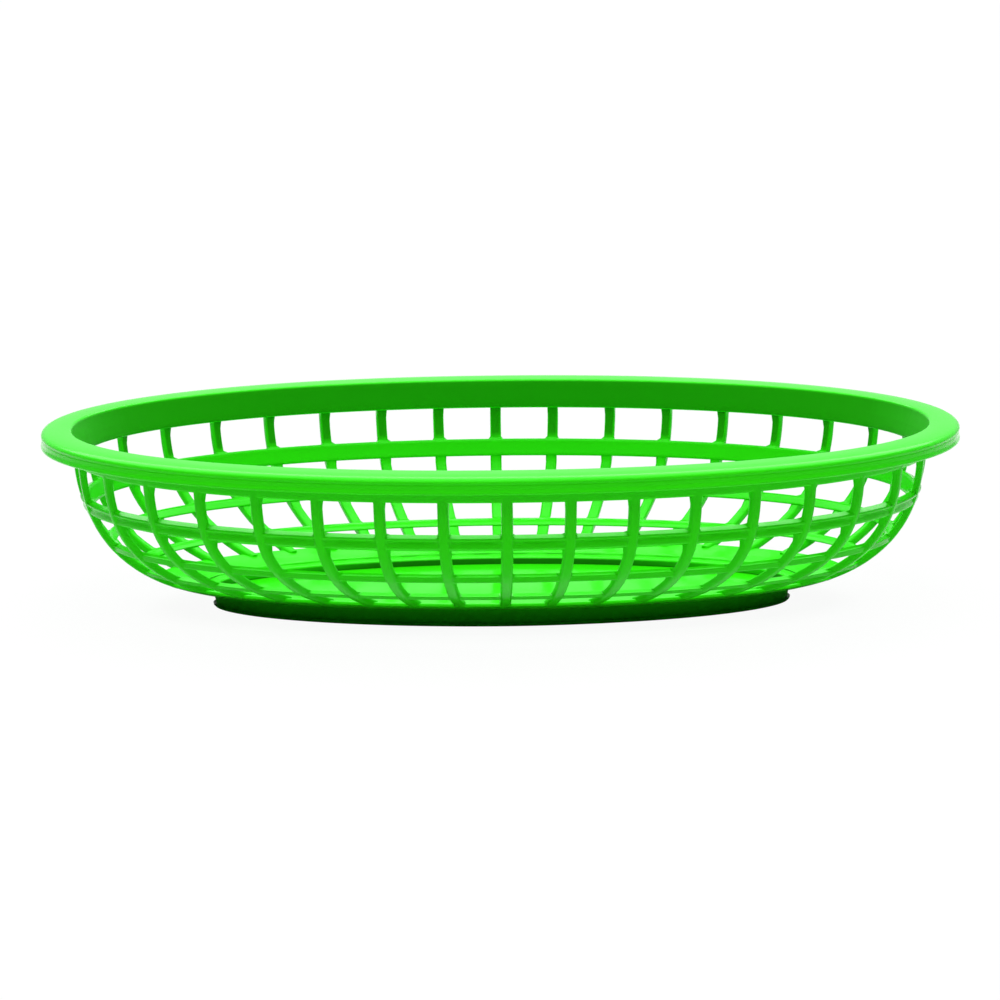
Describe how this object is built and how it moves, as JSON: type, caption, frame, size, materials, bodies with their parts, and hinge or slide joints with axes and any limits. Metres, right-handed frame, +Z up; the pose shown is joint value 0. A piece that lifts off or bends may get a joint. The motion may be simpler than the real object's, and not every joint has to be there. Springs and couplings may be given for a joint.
{
  "type": "oval serving basket",
  "caption": "Shallow oval open-lattice serving basket in glossy plastic, with a turned-down rim, bowed ribs crossed by hoops, a low oval foot and a solid floor.",
  "frame": {"origin": "on the table under the middle of the foot", "axes": "+X along the length, +Y across the width, +Z up"},
  "size_m": [0.235, 0.148, 0.0472],
  "materials": {
    "green_plastic": "smooth moulded gloss, one mid green throughout"
  },
  "bodies": {
    "root": {"rim": "green_plastic", "collar": "green_plastic", "upper_hoop": "green_plastic", "middle_hoop": "green_plastic", "lower_hoop": "green_plastic", "base_ring": "green_plastic", "foot_ring": "green_plastic", "floor_panel": "green_plastic", "rib_01": "green_plastic", "rib_02": "green_plastic", "rib_03": "green_plastic", "rib_04": "green_plastic", "rib_05": "green_plastic", "rib_06": "green_plastic", "rib_07": "green_plastic", "rib_08": "green_plastic", "rib_09": "green_plastic", "rib_10": "green_plastic", "rib_11": "green_plastic", "rib_12": "green_plastic", "rib_13": "green_plastic", "rib_14": "green_plastic", "rib_15": "green_plastic", "rib_16": "green_plastic", "rib_17": "green_plastic", "rib_18": "green_plastic", "rib_19": "green_plastic", "rib_20": "green_plastic", "rib_21": "green_plastic", "rib_22": "green_plastic", "rib_23": "green_plastic", "rib_24": "green_plastic", "rib_25": "green_plastic", "rib_26": "green_plastic", "rib_27": "green_plastic", "rib_28": "green_plastic", "rib_29": "green_plastic", "rib_30": "green_plastic", "rib_31": "green_plastic", "rib_32": "green_plastic", "rib_33": "green_plastic", "rib_34": "green_plastic", "rib_35": "green_plastic", "rib_36": "green_plastic"}
  },
  "joints": []
}
